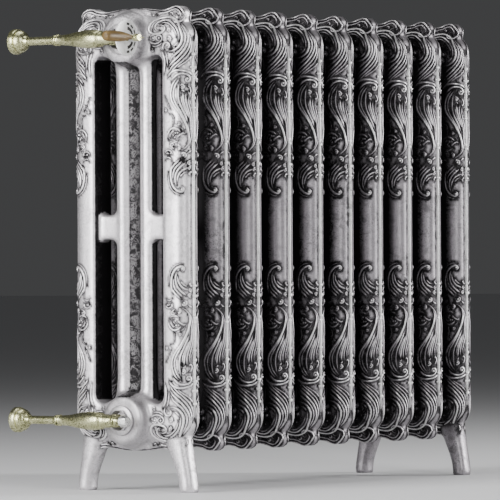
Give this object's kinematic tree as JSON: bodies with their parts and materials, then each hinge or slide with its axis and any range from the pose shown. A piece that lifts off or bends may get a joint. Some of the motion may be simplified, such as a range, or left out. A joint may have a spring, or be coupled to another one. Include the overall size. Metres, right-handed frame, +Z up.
{
  "type": "cast iron radiator",
  "caption": "Free-standing ornate column radiator in cast iron with scrolled columns, splayed feet, turned brass wall pipes, a lockshield valve and a lever valve with a dial.",
  "frame": {"origin": "middle of the bounding box, on the floor under the feet", "axes": "+X along the row of sections away from the valves, +Y towards the wall, +Z up"},
  "size_m": [0.9978, 0.297, 0.76],
  "materials": {
    "iron": "hand-burnished silver grey with dark patina left in the recesses",
    "steel": "bare machined malleable iron",
    "brass": "pale aged brass with olive speckled patina",
    "enamel": "satin white enamel",
    "wood": "oiled brown hardwood"
  },
  "bodies": {
    "radiator": {"section_01": "iron", "section_02": "iron", "section_03": "iron", "section_04": "iron", "section_05": "iron", "section_06": "iron", "section_07": "iron", "section_08": "iron", "section_09": "iron", "section_10": "iron", "nipple_bottom_01": "steel", "nipple_bottom_02": "steel", "nipple_bottom_03": "steel", "nipple_bottom_04": "steel", "nipple_bottom_05": "steel", "nipple_bottom_06": "steel", "nipple_bottom_07": "steel", "nipple_bottom_08": "steel", "nipple_bottom_09": "steel", "nipple_top_01": "steel", "nipple_top_02": "steel", "nipple_top_03": "steel", "nipple_top_04": "steel", "nipple_top_05": "steel", "nipple_top_06": "steel", "nipple_top_07": "steel", "nipple_top_08": "steel", "nipple_top_09": "steel", "bushing_bottom": "iron", "bushing_top": "iron", "far_plug_bottom": "iron", "far_plug_top": "iron", "pipe_bottom": "brass", "sleeve_bottom": "brass", "rosette_bottom": "brass", "valve_body_bottom": "brass", "tailpiece_bottom": "brass", "union_nut_bottom": "brass", "gland_nut_bottom": "brass", "pipe_top": "brass", "sleeve_top": "brass", "rosette_top": "brass", "valve_body_top": "brass", "tailpiece_top": "brass", "union_nut_top": "brass", "gland_nut_top": "brass", "dial": "enamel"},
    "regulator": {"regulator_spindle": "brass", "regulator_lever": "brass", "lever_grip": "wood"},
    "lockshield": {"lockshield_spindle": "brass"},
    "bleed_valve": {"bleed_screw": "brass"}
  },
  "joints": [
    {"name": "regulator_turn", "type": "hinge", "parent": "radiator", "child": "regulator", "pos_m": [-0.41637, -0.0925, 0.7085], "axis": [0, 1, 0], "range_deg": [-80, 80]},
    {"name": "lockshield_turn", "type": "hinge", "parent": "radiator", "child": "lockshield", "pos_m": [-0.41637, -0.0645, 0.112], "axis": [0, 1, 0], "range_deg": [-180, 180]},
    {"name": "bleed_turn", "type": "hinge", "parent": "radiator", "child": "bleed_valve", "pos_m": [0.49488, -0.0355, 0.7085], "axis": [1, 0, 0], "range_deg": [0, 270]}
  ]
}
